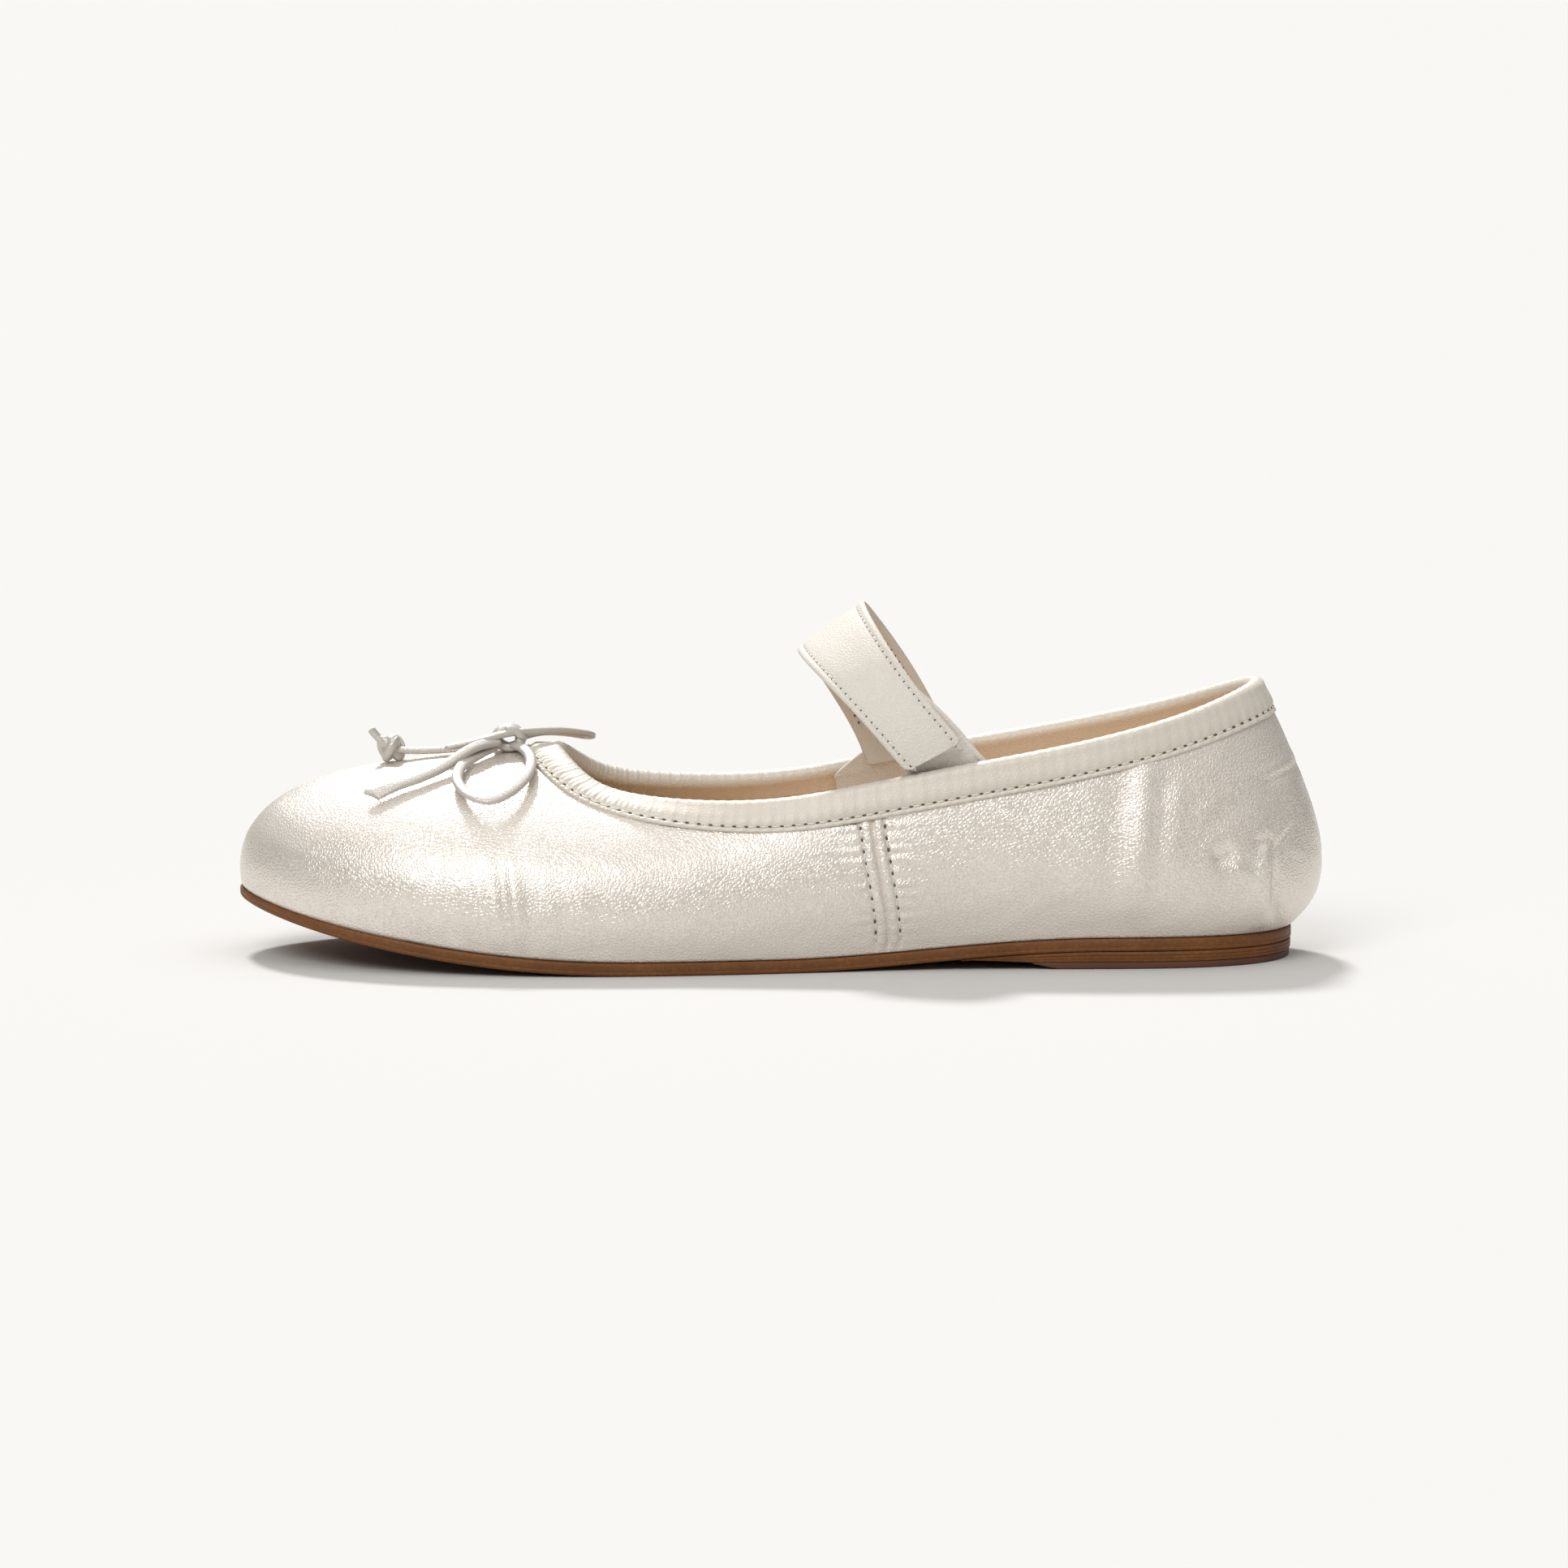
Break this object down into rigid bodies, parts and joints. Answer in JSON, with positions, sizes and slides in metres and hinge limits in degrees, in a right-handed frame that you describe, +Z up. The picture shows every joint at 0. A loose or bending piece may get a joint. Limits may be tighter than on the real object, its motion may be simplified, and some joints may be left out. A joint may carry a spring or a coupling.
{
  "type": "ballet slipper",
  "caption": "Low-cut slip-on flat shoe with rounded toe, rolled topline, instep strap that opens on a tab, and a thin-lace bow at the throat.",
  "frame": {"origin": "middle of the shoe's length and width, at ground level under the sole", "axes": "+X from toe to heel, +Y towards the inner (medial) side of a left foot, +Z up"},
  "size_m": [0.2495, 0.0867, 0.0817],
  "materials": {
    "sole_leather": "satin",
    "heel_rubber": "matt",
    "shank_steel": "brushed",
    "cork_filler": "matt",
    "insole_board": "matt",
    "heel_foam": "matt",
    "sock_leather": "matt",
    "pearl_leather": "pearlised",
    "stiffener_fibre": "matt",
    "lining_leather": "matt",
    "binding_leather": "satin",
    "lace_leather": "satin",
    "strap_leather": "satin",
    "hook_and_loop": "matt"
  },
  "bodies": {
    "shoe": {"outsole": "sole_leather", "heel_lift": "sole_leather", "heel_top_piece": "heel_rubber", "shank": "shank_steel", "bottom_filler": "cork_filler", "insole_board": "insole_board", "heel_cushion": "heel_foam", "sock_lining": "sock_leather", "vamp": "pearl_leather", "lateral_quarter": "pearl_leather", "medial_quarter": "pearl_leather", "toe_puff": "stiffener_fibre", "heel_counter": "stiffener_fibre", "vamp_lining": "lining_leather", "lateral_quarter_lining": "lining_leather", "medial_quarter_lining": "lining_leather", "topline_binding": "binding_leather", "drawstring": "lace_leather", "bow_knot": "lace_leather", "bow_loop_lateral": "lace_leather", "bow_loop_medial": "lace_leather", "bow_tail_lateral": "lace_leather", "bow_tail_knotted": "lace_leather", "tail_end_knot": "lace_leather", "strap_anchor": "strap_leather", "tab_anchor": "strap_leather"},
    "strap": {"strap_outer": "strap_leather", "strap_lining": "lining_leather", "hook_tape": "hook_and_loop"},
    "tab": {"tab_outer": "strap_leather", "tab_lining": "lining_leather", "loop_tape": "hook_and_loop"}
  },
  "joints": [
    {"name": "strap_swing", "type": "hinge", "parent": "shoe", "child": "strap", "pos_m": [0.0295, 0.0249, 0.0466], "axis": [-0.9848, 0, -0.1736], "range_deg": [0, 100]},
    {"name": "tab_fold", "type": "hinge", "parent": "shoe", "child": "tab", "pos_m": [0.038, -0.026, 0.0468], "axis": [-0.9848, 0, -0.1736], "range_deg": [0, 75], "stiffness_Nm_per_rad": 0.01}
  ]
}
